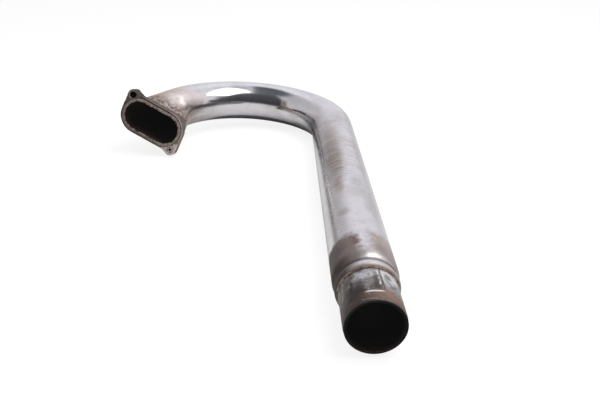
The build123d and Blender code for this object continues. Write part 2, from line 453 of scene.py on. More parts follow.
# Outer tube: rolled end, leg, bend, neck and lip
outerTube = {
    "radius": 0.0225,
    "wall": 0.001,
    "portRadius": 0.0172,
    "lipRadius": 0.018,
    "lipRounding": 0.00035,
    "around": 128,
    "rolledRings": 36,
    "outsideRings": (64, 110, 52),
    "insideRings": (12, 50, 26),
}
rolledEnd = {
    "start": 0.036,
    "beadTop": 0.0394,
    "groove": 0.0432,
    "shoulder": 0.051,
    "grooveRadius": 0.0207,
    "beadRise": 0.0009,
}
chromeLook = {
    "clean": (0.79, 0.775, 0.79),
    "dull": (0.65, 0.63, 0.64),
    "smudge": (0.5, 0.47, 0.46),
    "ring": (0.42, 0.36, 0.34),
    "tan": (0.68, 0.56, 0.5),
    "soil": (0.44, 0.33, 0.27),
    "scale": (0.1, 0.066, 0.05),
    "crust": (0.15, 0.098, 0.072),
    "film": (0.17, 0.125, 0.105),
    "filmInShade": (0.05, 0.036, 0.03),
    "grooveDirtAndDarkReflection": (0.06, 0.052, 0.048),
    "lipSteel": (0.56, 0.47, 0.42),
    "lipDark": (0.2, 0.145, 0.125),
    "roughness": (0.2, 0.07),
    "neckDulling": 0.17,
    "fineDulling": 0.06,
    "tintDulling": 0.4,
    "stainRoughness": 0.5,
    "stainMetal": 0.25,
    "reliefOf": {"rings": 0.08, "waves": 1.6, "specks": 0.8},
    "relief": (0.25, 0.0002),
}
# how strongly each mark shows
chromeMarks = {
    "smudges": 0.35,
    "rings": 0.5,
    "ringCover": 0.08,
    "ringGap": 0.45,
    "tintFine": 0.35,
    "tint": 0.85,
    "tintCover": 0.85,
    "soil": 1.15,
    "specks": 0.85,
    "crust": 0.85,
    "groove": 0.95,
    "grooveTop": 0.6,
    "grooveDirtAndReflection": 0.9,
    "grooveDirtAndReflectionTop": 0.45,
    "endFilm": 0.8,
    "beadFilm": 0.95,
    "shoulderFilm": 0.88,
    "rightSide": 0.62,
    "shoulderCover": 0.3,
    "lipShade": 0.6,
    "lipCover": 0.8,
}
# where each mark begins and where it is full, in millimetres along
chromeAlong = {
    "ringsStart": (130, 190),
    "ringsEnd": (360, 320),
    "smudgesEnd": (390, 330),
    "polish": (360, 430),
    "neckDulling": (586, 610),
    "tint": (562, 624),
    "soil": (616, 637),
    "specks": (420, 520),
    "topSpecks": (460, 500),
    "topSpecksEnd": (600, 560),
    "crust": (620, 638),
    "darkCrust": (628, 638),
    "endFilm": (39.0, 36.4),
    "beadFilm": (43.5, 41),
    "groove": (42.6, 43.5),
    "grooveEnd": (46.4, 44.9),
    "shoulderFilm": (57, 50),
    "shoulderCover": (60, 52),
}
# the same in degrees round from the top
chromeRound = {
    "ringsRight": (62, 35),
    "ringsLeft": (-75, -45),
    "leftSide": (-8, -48),
    "rightSide": (18, 62),
    "filmInShade": (-22, -58),
    "lipRight": (35, 80),
    "lipLeft": (195, 160),
}
topSpecks = {"middle": 44.0, "spread": (34, 8)}
lipMottle = {"before": (0.9, 0.5), "share": (0.22, 0.72)}
chromeGrain = {"cloud": (38, 4), "fine": (420, 3), "rings": (330, 2), "waves": (130, 4, 0.62)}
ringStretch = (0.12, 1.0, 0.12)
# shares of a noise at which a mark begins and at which it is full
chromeLevels = {
    "dull": (0.42, 0.72),
    "rings": (0.5, 0.66),
    "ringAreas": (0.35, 0.6),
    "ringGaps": (0.42, 0.62),
    "tint": (0.36, 0.78),
    "lip": (0.4, 0.62),
}
chromeSpots = {
    "smudges": (105, 4, 0.65, 0.5, 0.68),
    "specks": (800, 2, 0.6, 0.66, 0.72),
    "speckAreas": (70, 2, 0.6, 0.46, 0.6),
    "topSpecks": (1150, 2, 0.6, 0.6, 0.66),
    "topSpeckAreas": (120, 3, 0.6, 0.44, 0.56),
    "crust": (300, 5, 0.7, 0.4, 0.6),
}
chromeStains = [
    # brown film and scale on the shoulder
    stain((61, -64), (15.5, 34), (0.085, 0.058, 0.05), 0.92, 0.45, 0.16, scale=190, square=5),
    stain((66, -34), (11, 24), (0.1, 0.043, 0.029), 0.95, 1.1, 0.4, scale=210, square=3, cover=1.0),
    stain((57, -24), (9, 14), (0.3, 0.22, 0.18), 0.4, 1.4, 0.6, scale=170),
    stain((50, -40), (9, 36), (0.11, 0.08, 0.07), 0.8, 0.8, 0.5),
    stain((66, 40), (13, 30), (0.3, 0.215, 0.175), 0.72, 1.1, 0.5, scale=190, square=3),
    stain((55, 55), (9, 42), (0.24, 0.18, 0.155), 0.65, 0.9, 0.5, square=3),
    # dull strips and heat patches along the leg
    stain((205, -38), (160, 20), (0.4, 0.365, 0.36), 0.62, 0.9, 0.8, scale=75, cover=0.15),
    stain((190, 48), (150, 17), (0.5, 0.47, 0.48), 0.55, 0.8, 0.8, scale=75, cover=0.1),
    stain((216, -24), (50, 19), (0.27, 0.205, 0.175), 0.88, 1.3, 0.5, scale=90, ringed=True),
    stain((262, -18), (48, 23), (0.37, 0.32, 0.29), 0.66, 1.3, 0.6, scale=90, ringed=True),
    stain((158, -24), (14, 9), (0.34, 0.24, 0.21), 0.6, 1.5, 0.6, scale=160, ringed=True),
    stain((160, 16), (13, 15), (0.47, 0.44, 0.43), 0.55, 1.4, 0.7, scale=130, cover=0.3),
    stain((126, 32), (20, 13), (0.5, 0.48, 0.48), 0.45, 1.4, 0.7, scale=130, cover=0.3),
    # dark reflections under the bend
    stain((465, 208), (92, 30), (0.17, 0.165, 0.18), 0.9, 0.12, 0.1, square=5, cover=0.1),
    stain((390, 226), (40, 26), (0.24, 0.235, 0.25), 0.8, 0.2, 0.3, square=3, cover=0.1),
    # grime, pale top and painted dark reflection lines on the neck
    stain((608, -74), (30, 21), (0.17, 0.13, 0.108), 0.48, 1.0, 0.6, scale=150),
    stain((624, -24), (13, 26), (0.86, 0.79, 0.78), 0.75, 0.9, 0.6, scale=150, cover=0.3),
    stain((642, -66), (7, 13), (0.12, 0.075, 0.055), 0.7, 1.2, 0.5, scale=200),
    stain((604, 243), (32, 16), (0.24, 0.19, 0.16), 0.4, 0.8, 0.6, scale=150),
    stain((584, -76), (38, 4.5), (0.09, 0.083, 0.08), 0.85, 0.8, 0.5, scale=120, square=3, cover=0.4),
    # haze on the bend, a painted highlight on the top of the bead, small spots
    stain((490, -46), (62, 17), (0.4, 0.4, 0.42), 0.4, 1.7, 0.8, scale=90, cover=0.3),
    stain((41.3, -2), (1.4, 27), (0.97, 0.95, 0.94), 0.9, 0.3, 0.5, square=3, cover=0.0),
    stain((318, -10), (5, 32), (0.5, 0.42, 0.4), 0.45, 0.5, 0.6),
    stain((446, -65), (5, 8), (0.3, 0.17, 0.1), 0.7, 2.4, 0.7, scale=210),
    stain((140, 8), (8, 18), (0.42, 0.39, 0.38), 0.4, 1.1, 0.7, scale=110),
    stain((112, -26), (5, 12), (0.33, 0.3, 0.29), 0.5, 1.3, 0.6, scale=150),
]
chromeStrokes = [
    # painted dark reflection lines along the leg's left side, and one more on the neck
    stroke((346, -76), (248, -60), 2.6, (0.15, 0.145, 0.155), 0.85),
    stroke((252, -60), (105, -54), 2.4, (0.26, 0.25, 0.26), 0.6),
    stroke((345, -66), (300, -58), 1.6, (0.2, 0.19, 0.2), 0.5),
    stroke((588, -78), (628, -52), 3.0, (0.12, 0.1, 0.092), 0.75),
]


def chromeFinish():
    look, strength, level = chromeLook, chromeMarks, chromeLevels
    material, tree, shader = newFinish("stainedChrome")
    surface = where, along, turn = surfacePlace(tree)

    def alongAt(place):
        return fade(along, *chromeAlong[place])

    def roundAt(place):
        return fade(turn, *chromeRound[place])

    def spotted(name):
        return spots(where, chromeSpots[name])

    cloud = grain(where, *chromeGrain["cloud"])
    fine = grain(where, *chromeGrain["fine"])
    rings = grain(vectors("MULTIPLY", where, ringStretch), *chromeGrain["rings"])
    onLeg = times(alongAt("ringsStart"), alongAt("ringsEnd"), roundAt("ringsRight"), roundAt("ringsLeft"))
    ringShare = times(fade(rings, *level["rings"]), onLeg, fade(cloud, *level["ringAreas"]))
    colour = blended(fade(cloud, *level["dull"]), look["clean"], look["dull"])
    smudges = times(spotted("smudges"), alongAt("smudgesEnd"), strength["smudges"])
    colour = blended(smudges, colour, look["smudge"])
    colour = blended(times(ringShare, strength["rings"]), colour, look["ring"])
    cover = times(ringShare, strength["ringCover"])

    # heat tint and soil on the neck
    tintCloud = maths("ADD", cloud, times(fine, strength["tintFine"]))
    tint = times(alongAt("tint"), fade(tintCloud, *level["tint"]), strength["tint"])
    colour = blended(tint, colour, look["tan"])
    soil = times(alongAt("soil"), times(cloud, strength["soil"]))
    colour = blended(soil, colour, look["soil"])

    ringGaps = ranged(fade(rings, *level["ringGaps"]), 1.0, strength["ringGap"])
    for mark in chromeStains:
        share = stainShare(surface, mark)
        cover = highest(cover, times(share, mark["cover"]))
        if mark["ringed"]:
            share = times(share, ringGaps)
        colour = blended(share, colour, mark["colour"])
    for mark in chromeStrokes:
        share = strokeShare(surface, outerTube["radius"] * 1000, mark)
        colour = blended(share, colour, mark["colour"])

    # rust specks, thickest on top of the bend and near the neck
    specks = times(spotted("specks"), spotted("speckAreas"), alongAt("specks"), strength["specks"])
    fromTop = maths("ABSOLUTE", maths("SUBTRACT", turn, topSpecks["middle"]))
    onTop = times(fade(fromTop, *topSpecks["spread"]), alongAt("topSpecks"), alongAt("topSpecksEnd"))
    above = times(spotted("topSpecks"), onTop, spotted("topSpeckAreas"), strength["specks"])
    specks = highest(specks, above)
    colour = blended(specks, colour, look["scale"])

    # scale next to the flange
    crust = times(alongAt("crust"), spotted("crust"), strength["crust"])
    crustColour = blended(alongAt("darkCrust"), look["crust"], look["scale"])
    colour = blended(crust, colour, crustColour)
    cover = highest(cover, times(tint, strength["tintCover"]), crust, specks)

    # brown film on the rolled end, heavier on the flanks and painted darker on the left side as shade; dirt and
    # a painted dark reflection in its groove, lighter on top
    sides = maths("ADD", roundAt("leftSide"), times(roundAt("rightSide"), strength["rightSide"]))
    groove = times(alongAt("groove"), alongAt("grooveEnd"), strength["groove"])
    film = highest(
        times(groove, ranged(sides, strength["grooveTop"], 1.0)),
        times(alongAt("endFilm"), strength["endFilm"]),
        times(alongAt("beadFilm"), sides, strength["beadFilm"]),
        times(alongAt("shoulderFilm"), sides, strength["shoulderFilm"]),
    )
    # the film is painted darker on the left side as shade
    filmAndShadeColour = blended(roundAt("filmInShade"), look["film"], look["filmInShade"])
    colour = blended(film, colour, filmAndShadeColour)
    # dirt and a painted dark reflection in the groove, lighter on top
    grooveDirtAndReflection = times(groove, ranged(sides, strength["grooveDirtAndReflectionTop"], 1.0), strength["grooveDirtAndReflection"])
    colour = blended(grooveDirtAndReflection, colour, look["grooveDirtAndDarkReflection"])
    cover = highest(cover, film, times(alongAt("shoulderCover"), strength["shoulderCover"]))

    # bare edge round the port
    lipStart, lipFull = (faceAlong * 1000 - before for before in lipMottle["before"])
    lipShare = fade(along, lipStart, lipFull)
    mottle = ranged(fade(fine, *level["lip"]), *lipMottle["share"])
    lipColour = blended(mottle, look["lipSteel"], look["lipDark"])
    lipShade = times(roundAt("lipRight"), roundAt("lipLeft"), strength["lipShade"])
    colour = blended(lipShare, colour, blended(lipShade, lipColour, look["lipDark"]))
    cover = highest(cover, times(lipShare, strength["lipCover"]))

    roughness = ranged(alongAt("polish"), *look["roughness"])
    roughness = scaled(alongAt("neckDulling"), look["neckDulling"], roughness)
    roughness = scaled(fine, look["fineDulling"], roughness)
    roughness = scaled(tint, look["tintDulling"], roughness)
    roughness = scaled(cover, look["stainRoughness"], roughness)
    dress(shader, colour, roughness, ranged(cover, 1.0, look["stainMetal"]))
    height = maths("ADD", times(fine, cover), times(ringShare, look["reliefOf"]["rings"]))
    waves = times(grain(where, *chromeGrain["waves"]), look["reliefOf"]["waves"])
    height = maths("ADD", scaled(specks, look["reliefOf"]["specks"], waves), height)
    raised(shader, height, *look["relief"])
    return material


def rolledRadius(y):
    start, beadTop, groove, shoulder = (rolledEnd[key] for key in ("start", "beadTop", "groove", "shoulder"))
    grooveRadius, rise = rolledEnd["grooveRadius"], rolledEnd["beadRise"]
    if y < beadTop:
        return grooveRadius + rise * sin(pi / 2 * (y - start) / (beadTop - start))
    if y < groove:
        return grooveRadius + rise * (1 + cos(pi * (y - beadTop) / (groove - beadTop))) / 2
    share = (y - groove) / (shoulder - groove)
    return grooveRadius + (outerTube["radius"] - grooveRadius) * (1 - cos(pi * share)) / 2


def tubeRings():
    tube, shoulder, lipHeight = outerTube, rolledEnd["shoulder"], route["lipHeight"]
    rolled = spaced(rolledEnd["start"], shoulder, tube["rolledRings"])
    outside = [legRing(y, rolledRadius(y)) for y in rolled[:-1]]
    outside += pathRings(shoulder, tube["radius"], tube["portRadius"], *tube["outsideRings"], 0)
    innerRound, innerPort = tube["radius"] - tube["wall"], tube["portRadius"] - tube["wall"]
    edge = [portRing(0, tube["lipRadius"])]
    edge += lipRings(tube["lipRadius"], innerPort, lipHeight, tube["lipRounding"])
    lipFoot = lipHeight - tube["lipRounding"]
    inside = pathRings(shoulder, innerRound, innerPort, *tube["insideRings"], lipFoot)[::-1]
    inside += [legRing(y, rolledRadius(y) - tube["wall"]) for y in rolled[-2::-1]]
    return outside + edge + inside[1:]


headerTube = sweptPiece("headerTube", tubeRings(), chromeFinish(), outerTube["around"])
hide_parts("outer_tube")
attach(headerTube, "root")

# Small dent pressed through the spigot and the pipe inside it
dent = {
    "edge": 0.0106,
    "steep": 0.0011,
    "length": 0.013,
    "halfTurn": 15.0,
    "sideSlope": 1.6,
    "depth": 0.0005,
}


def smoothed(share):
    share = max(0.0, min(1.0, share))
    return share * share * (3 - 2 * share)


def pressDent(piece):
    slope = dent["sideSlope"]
    for point in piece.data.vertices:
        place = point.co - Vector(route["mouth"])
        radial = Vector((place.x, 0, place.z))
        aside = abs(degrees(atan2(place.x, place.z))) / dent["halfTurn"]
        along = place.y - dent["edge"]
        if aside < 1 and -dent["steep"] < along < dent["length"]:
            share = smoothed(along / dent["steep"]) * (1 - smoothed(along / dent["length"]))
            share *= 1 - smoothed(aside * slope - (slope - 1))
            point.co -= radial.normalized() * dent["depth"] * share


# Inner gas pipe
innerPipe = {
    "radius": 0.0184,
    "wall": 0.0012,
    "portRadius": 0.0162,
    "portWall": 0.001,
    "recess": 0.0012,
    "lipRounding": 0.0003,
    "around": 120,
    "mouthEnd": 0.03,
    "mouthRings": 48,
    "rings": (28, 60, 30),
}
sootLook = {
    "soot": (0.0045, 0.0043, 0.0044),
    "paler": (0.0075, 0.0068, 0.0066),
    "deep": (0.17, 0.17, 0.178),
    "port": (0.03, 0.021, 0.018),
    "lipSteel": (0.46, 0.36, 0.31),
    "rim": (0.014, 0.0105, 0.0095),
    "roughness": 0.92,
    "flakeGloss": -0.2,
    "gloss": 0.04,
    "haze": 0.0036,
    "flakes": (300, 5, 0.65),
    "palerFrom": (0.45, 0.68),
    "deepFrom": (14, 70),
    "portFrom": (560, 600),
    "rimTo": (2.2, 1.3),
    "lipFrom": (0.1, 0.9),
    "lipFlakes": (0.62, 0.4),
    "relief": (0.5, 0.0003),
}


def sootFinish():
    look = sootLook
    material, tree, shader = newFinish("sootedSteel")
    where, along, _ = surfacePlace(tree)
    flakes = grain(where, *look["flakes"])
    colour = blended(fade(flakes, *look["palerFrom"]), look["soot"], look["paler"])
    for area, reach in (("deep", "deepFrom"), ("port", "portFrom"), ("rim", "rimTo")):
        colour = blended(fade(along, *look[reach]), colour, look[area])
    lipStart, lipFull = (faceAlong * 1000 + past for past in look["lipFrom"])
    atLip = times(fade(along, lipStart, lipFull), fade(flakes, *look["lipFlakes"]))
    colour = blended(atLip, colour, look["lipSteel"])
    dress(shader, colour, scaled(flakes, look["flakeGloss"], look["roughness"]))
    shader.inputs["Specular IOR Level"].default_value = look["gloss"]
    # a faint painted glow: the soot gives off a little white light
    shader.inputs["Emission Strength"].default_value = look["haze"]
    raised(shader, flakes, *look["relief"])
    return material


def gasPipeRings():
    pipe, top = innerPipe, route["lipHeight"]

    def side(roundRadius, portRadius):
        places = spaced(pipe["recess"], pipe["mouthEnd"], pipe["mouthRings"])[:-1]
        near = [legRing(y, roundRadius) for y in places]
        lipFoot = top - pipe["lipRounding"]
        return near + pathRings(pipe["mouthEnd"], roundRadius, portRadius, *pipe["rings"], lipFoot)

    borePort = pipe["portRadius"] - pipe["portWall"]
    outside = side(pipe["radius"], pipe["portRadius"])
    edge = lipRings(pipe["portRadius"], borePort, top, pipe["lipRounding"])[1:]
    inside = side(pipe["radius"] - pipe["wall"], borePort)[::-1]
    return outside + edge + inside[1:]


gasPipe = sweptPiece("gasPipe", gasPipeRings(), sootFinish(), innerPipe["around"])
pressDent(gasPipe)
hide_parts("inner_pipe")
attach(gasPipe, "root")

# Spigot at the outlet
spigotSize = {
    "radius": 0.01965,
    "wall": 0.0012,
    "length": 0.054,
    "leadIn": 0.0004,
    "leadLength": 0.004,
    "weldFoot": 0.0346,
    "tuckStep": 0.0002,
    "rimRounding": 0.0002,
    "boreChamfer": 0.0001,
    "around": 200,
    "rings": (80, 6, 108),
}
spigotLook = {
    "steel": (0.46, 0.44, 0.43),
    "dull": (0.15, 0.125, 0.115),
    "mottle": (0.09, 0.075, 0.07),
    "speck": (0.05, 0.034, 0.028),
    "film": (0.15, 0.094, 0.074),
    "rim": (0.004, 0.0035, 0.0035),
    "blotches": (210, 5, 0.68),
    "fine": (900, 3, 0.7),
    "mottleSpots": (520, 5, 0.72, 0.5, 0.62),
    "dullFrom": (0.42, 0.66),
    "dullCover": 0.5,
    "pits": (0.62, 0.7),
    "pitShare": 0.5,
    "filmTo": (17, 9),
    "filmWander": 7.0,
    "filmShare": 0.8,
    "speckTo": (13, 9),
    "speckShare": 0.6,
    "mottleFrom": (9, 13),
    "mottleRound": (5, 30),
    "mottleShare": (0.66, 0.42),
    "rimTo": (1.1, 0.6),
    "rimDulling": 4.0,
    "metal": (0.9, 0.45),
    "roughness": 0.28,
    "coverDulling": 0.12,
    "blotchDulling": 0.22,
    "fineHeight": 0.4,
    "relief": (0.45, 0.0003),
}
spigotStains = [
    stain((29, -20), (6, 20), (0.66, 0.66, 0.71), 0.8, 1.6, 0.5, scale=300),
    stain((22, 74), (12, 20), (0.28, 0.25, 0.24), 0.7, 1.2, 0.6, scale=240),
    stain((29, 30), (7.5, 24), (0.84, 0.81, 0.8), 0.92, 1.6, 0.5, scale=300),
    stain((20, -6), (6, 10), (0.34, 0.29, 0.27), 0.6, 1.4, 0.5, scale=260),
    # painted shade inside the dent
    stain((20, 8), (9, 7), (0.07, 0.055, 0.05), 0.85, 1.0, 0.4, scale=260, square=3),
    stain((31, -40), (5, 9), (0.16, 0.14, 0.135), 0.7, 1.6, 0.5, scale=300),
    stain((13, -34), (7, 15), (0.028, 0.021, 0.018), 0.92, 1.5, 0.5, scale=230),
    stain((20, -30), (6, 18), (0.1, 0.085, 0.082), 0.75, 1.5, 0.6, scale=300),
    stain((21, -66), (16, 20), (0.07, 0.05, 0.043), 0.85, 1.5, 0.5, scale=200),
    stain((5, -46), (12, 52), (0.045, 0.031, 0.026), 0.92, 1.3, 0.45, square=3),
    stain((4, 58), (9, 28), (0.09, 0.058, 0.047), 0.75, 1.3, 0.5, square=3),
    stain((9.5, 26), (5, 12), (0.36, 0.235, 0.17), 0.6, 1.3, 0.6),
    stain((33.5, -22), (2.2, 9), (0.1, 0.09, 0.09), 0.7, 1.4, 0.5, scale=420),
    stain((27, 30), (3, 7), (0.1, 0.09, 0.09), 0.7, 1.3, 0.5, scale=420),
    stain((7, 26), (4.5, 40), (0.25, 0.16, 0.12), 0.6, 1.2, 0.6, square=3),
    # painted highlight on the dent's lower step
    stain((10.3, 0), (0.9, 14), (0.97, 0.88, 0.83), 0.97, 0.7, 0.5, square=4),
]
spigotStrokes = [
    stroke((36, -37), (8, -47), 2.0, (0.025, 0.019, 0.016), 0.95),
    stroke((34, 11), (18, 12), 1.0, (0.8, 0.78, 0.78), 0.85),
    stroke((33, 15), (13, 18), 1.1, (0.06, 0.05, 0.047), 0.8),
    stroke((24, 24), (13, 48), 0.9, (0.07, 0.058, 0.053), 0.7),
    stroke((31, 28), (24, 34), 0.8, (0.1, 0.085, 0.08), 0.5),
    stroke((31, -62), (16, -70), 1.4, (0.5, 0.46, 0.43), 0.4),
    stroke((22, -11), (7, -12), 0.5, (0.6, 0.55, 0.52), 0.35),
    stroke((3.4, -26), (2.4, 2), 0.6, (0.55, 0.45, 0.39), 0.4),
]


def spigotFinish():
    look = spigotLook
    material, tree, shader = newFinish("bareSpigotSteel")
    surface = where, along, turn = surfacePlace(tree)
    blotches = grain(where, *look["blotches"])
    fine = grain(where, *look["fine"])
    dull = fade(blotches, *look["dullFrom"])
    colour = blended(dull, look["steel"], look["dull"])
    filmEdge = scaled(blotches, look["filmWander"], along)
    filmShare = times(fade(filmEdge, *look["filmTo"]), look["filmShare"])
    colour = blended(filmShare, colour, look["film"])
    cover = highest(times(dull, look["dullCover"]), filmShare)
    mottle = spots(where, look["mottleSpots"])
    specks = times(mottle, fade(along, *look["speckTo"]), look["speckShare"])
    colour = blended(specks, colour, look["speck"])
    for mark in spigotStains:
        colour = blended(stainShare(surface, mark), colour, mark["colour"])
    for mark in spigotStrokes:
        share = strokeShare(surface, spigotSize["radius"] * 1000, mark)
        colour = blended(share, colour, mark["colour"])
    mottleShare = ranged(fade(turn, *look["mottleRound"]), *look["mottleShare"])
    mottle = times(mottle, fade(along, *look["mottleFrom"]), mottleShare)
    colour = blended(mottle, colour, look["mottle"])
    pits = fade(fine, *look["pits"])
    colour = blended(times(pits, look["pitShare"]), colour, look["dull"])
    rim = fade(along, *look["rimTo"])
    colour = blended(rim, colour, look["rim"])
    metallic = times(ranged(cover, *look["metal"]), ranged(rim, 1.0, 0.0))
    dulled = highest(cover, times(rim, look["rimDulling"]))
    roughness = scaled(dulled, look["coverDulling"], look["roughness"])
    roughness = scaled(blotches, look["blotchDulling"], roughness)
    dress(shader, colour, roughness, metallic)
    height = maths("ADD", blotches, times(fine, look["fineHeight"]))
    raised(shader, height, *look["relief"])
    return material


def spigotRadius(y):
    lead = max(0.0, 1 - y / spigotSize["leadLength"])
    return spigotSize["radius"] - spigotSize["leadIn"] * lead


def spigotRings():
    size = spigotSize
    boreRadius, tuckRadius = size["radius"] - size["wall"], size["radius"] - size["tuckStep"]
    edge, chamfer = size["rimRounding"], size["boreChamfer"]
    outer, tuck, bore = size["rings"]
    rings = [legRing(0.0, boreRadius + chamfer), legRing(0.0, spigotRadius(0) - edge)]
    rings.append(legRing(edge, spigotRadius(edge)))
    rings += [legRing(y, spigotRadius(y)) for y in spaced(0.001, size["weldFoot"], outer)]
    rings += [legRing(y, tuckRadius) for y in spaced(size["weldFoot"], size["length"], tuck)]
    return rings + [legRing(y, boreRadius) for y in spaced(size["length"], chamfer, bore)]


spigot = sweptPiece("spigot", spigotRings(), spigotFinish(), spigotSize["around"])
pressDent(spigot)
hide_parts("outlet_sleeve")
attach(spigot, "root")

# Weld bead between the spigot and the rolled end
seam = {
    "leg": 0.0014,
    "crown": 0.88,
    "rippleHeight": 0.00012,
    "rippleCount": 76,
    "around": 608,
}
weldLook = {
    "bright": (0.42, 0.32, 0.27),
    "rust": (0.26, 0.15, 0.1),
    "dark": (0.05, 0.038, 0.032),
    "patches": (240, 4),
    "fine": (1100, 3, 0.7),
    "rustFrom": (0.4, 0.6),
    "darkFine": 0.4,
    "darkFrom": (0.52, 0.78),
    "metal": (0.7, 0.2),
    "roughness": 0.4,
    "fineDulling": 0.3,
    "relief": (0.5, 0.0002),
}


def weldFinish(name, darkShare):
    look = weldLook
    material, tree, shader = newFinish(name)
    where = objectPlace(tree)
    patches, fine = grain(where, *look["patches"]), grain(where, *look["fine"])
    colour = blended(fade(patches, *look["rustFrom"]), look["bright"], look["rust"])
    darkCloud = maths("ADD", patches, times(fine, look["darkFine"]))
    dark = times(fade(darkCloud, *look["darkFrom"]), darkShare)
    colour = blended(dark, colour, look["dark"])
    roughness = scaled(fine, look["fineDulling"], look["roughness"])
    dress(shader, colour, roughness, ranged(dark, *look["metal"]))
    raised(shader, fine, *look["relief"])
    return material


def seamRings():
    foot, radius = spigotSize["weldFoot"], spigotSize["radius"]
    tuckRadius = radius - spigotSize["tuckStep"]
    bulge = rolledEnd["grooveRadius"] - radius
    rings = [legRing(foot, tuckRadius)]
    for a in spaced(0, pi / 2, 6):
        rise = bulge * sin(a) * seam["crown"]
        rings.append(legRing(foot + seam["leg"] * (1 - cos(a)), radius + rise, sin(2 * a)))
    return rings + [legRing(rolledEnd["start"], tuckRadius)]


seamRipples = seam["rippleHeight"], seam["rippleCount"]
outletWeld = sweptPiece("outletWeld", seamRings(), weldFinish("rustyWeld", 0.5), seam["around"], *seamRipples)
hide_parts("outlet_weld")
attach(outletWeld, "root")

# Weld bead round the neck, behind the flange
neckBead = {
    "rippleHeight": 0.00022,
    "rippleCount": 84,
    "around": 672,
    "inset": 0.0003,
    "taper": 0.86,
    "height": 0.98,
    "rippleStart": 0.15,
    "rippleShare": 0.9,
}


def neckBeadRings():
    bead, leg, plateBack = neckBead, route["weldLeg"], -route["plateThickness"]
    radius = outerTube["portRadius"]
    rings = [portRing(plateBack, radius), portRing(plateBack - leg, radius)]
    for t in spaced(0, 1, 6):
        outward = leg - bead["inset"] - t * (leg * bead["taper"] - bead["inset"])
        ripple = sin(pi * min(1.0, t + bead["rippleStart"])) * bead["rippleShare"]
        rings.append(portRing(plateBack - t * leg * bead["height"], radius + outward, ripple))
    return rings


neckRipples = neckBead["rippleHeight"], neckBead["rippleCount"]
scaledWeld = weldFinish("scaledWeld", 0.95)
flangeWeld = sweptPiece("flangeWeld", neckBeadRings(), scaledWeld, neckBead["around"], *neckRipples)
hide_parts("flange_weld")
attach(flangeWeld, "root")

# Flange: the plate's exact shape, worn and pitted like an old casting
flangeWear = {
    "voxel": 0.00045,
    "mergeDistance": 0.000002,
    "relaxing": 0.5,
    "softening": 3,
    "averaging": 3,
    "pitDepth": 0.0002,
    "scaleDepth": 0.00055,
    "pitSize": 0.0022,
    "studAlong": 0.0301,
    "studAside": -0.017,
    "boreRadius": 0.0038,
    "washerEdge": (0.0049, 0.0045),
    "washerHaze": (0.0115, 0.0075),
    "upperEar": (0.016, 0.008),
    "paleEnd": (0.012, 0.030),
    "shadedEnd": (-0.004, -0.024),
    "creaseGap": 0.0002,
    "creaseWidth": 0.0005,
}
# how deep under the face each mark still reaches
wearDepth = {"shaded": -0.0002, "bore": -0.0006, "crease": -0.0008, "washerAndLight": -0.0009, "pale": -0.0012}
wearShare = {
    "edge": 9,
    "upperEarEdge": 0.6,
    "haze": 0.75,
    "paleFace": 0.42,
    "paleSide": 0.14,
    "shaded": 0.55,
    "bore": 0.9,
    "upperEarGrime": 0.15,
}
# each stud hole: its side of the port, share of washer wear, share of painted shade in its bore
studHoles = ((1, 1.0, 0.0), (-1, 0.4, 1.0))
lumpNoise = (1.0, 2.0, 4)
castingLook = {
    "oxide": (0.045, 0.034, 0.03),
    "brown": (0.15, 0.105, 0.087),
    "edge": (0.42, 0.35, 0.31),
    "grimeAndShade": (0.016, 0.013, 0.012),
    "washerMarkAndLight": (0.8, 0.7, 0.67),
    "patches": (190, 5, 0.65),
    "fine": (900, 3, 0.7),
    "edgeFine": 0.6,
    "edgeFrom": (0.62, 1.1),
    "brownFrom": (0.4, 0.62),
    "washerFrom": (0.7, 0.5),
    "pitsFrom": (0.6, 0.7),
    "pitShare": 0.7,
    "metal": (0.25, 0.75),
    "roughness": 0.4,
    "fineDulling": 0.25,
    "fineHeight": 0.5,
    "relief": (0.6, 0.0004),
}
portRow = portRing(0, outerTube["portRadius"])
faceMiddle = lying @ portRow["centre"]
faceOut, faceSide, faceUp = (lying.to_3x3() @ v for v in (faceNormal, portRow["sideways"], portRow["upright"]))


def overFace(points):
    # each point's place along the port, across it and over the face
    offset = points - np.array(faceMiddle)
    return [offset @ np.array(axis) for axis in (faceSide, faceUp, faceOut)]


def castingFinish():
    look = castingLook
    material, tree, shader = newFinish("oxidisedCasting")
    where = objectPlace(tree)
    patches, fine = grain(where, *look["patches"]), grain(where, *look["fine"])
    edge = fade(scaled(fine, look["edgeFine"], ownValue(tree, "edgeWear")), *look["edgeFrom"])
    colour = blended(fade(patches, *look["brownFrom"]), look["oxide"], look["brown"])
    colour = blended(edge, colour, look["edge"])
    # washer marks, with painted light on the plate's right end
    washerAndLight = times(ownValue(tree, "washerWearAndLight"), fade(patches, *look["washerFrom"]))
    colour = blended(washerAndLight, colour, look["washerMarkAndLight"])
    # pits and grime, with painted shade on the plate's left end and in the stud bore
    pits = times(fade(fine, *look["pitsFrom"]), look["pitShare"])
    colour = blended(highest(pits, ownValue(tree, "creaseGrimeAndShade")), colour, look["grimeAndShade"])
    metallic = ranged(highest(edge, washerAndLight), *look["metal"])
    dress(shader, colour, scaled(fine, look["fineDulling"], look["roughness"]), metallic)
    raised(shader, maths("ADD", patches, times(fine, look["fineHeight"])), *look["relief"])
    return material


def storeShare(mesh, name, values):
    layer = mesh.attributes.new(name, "FLOAT", "POINT")
    layer.data.foreach_set("value", np.clip(values, 0, 1).astype(np.float32))


def ramp(values, start, end):
    # 0 at start to 1 at end
    return np.clip((values - start) / (end - start), 0, 1)


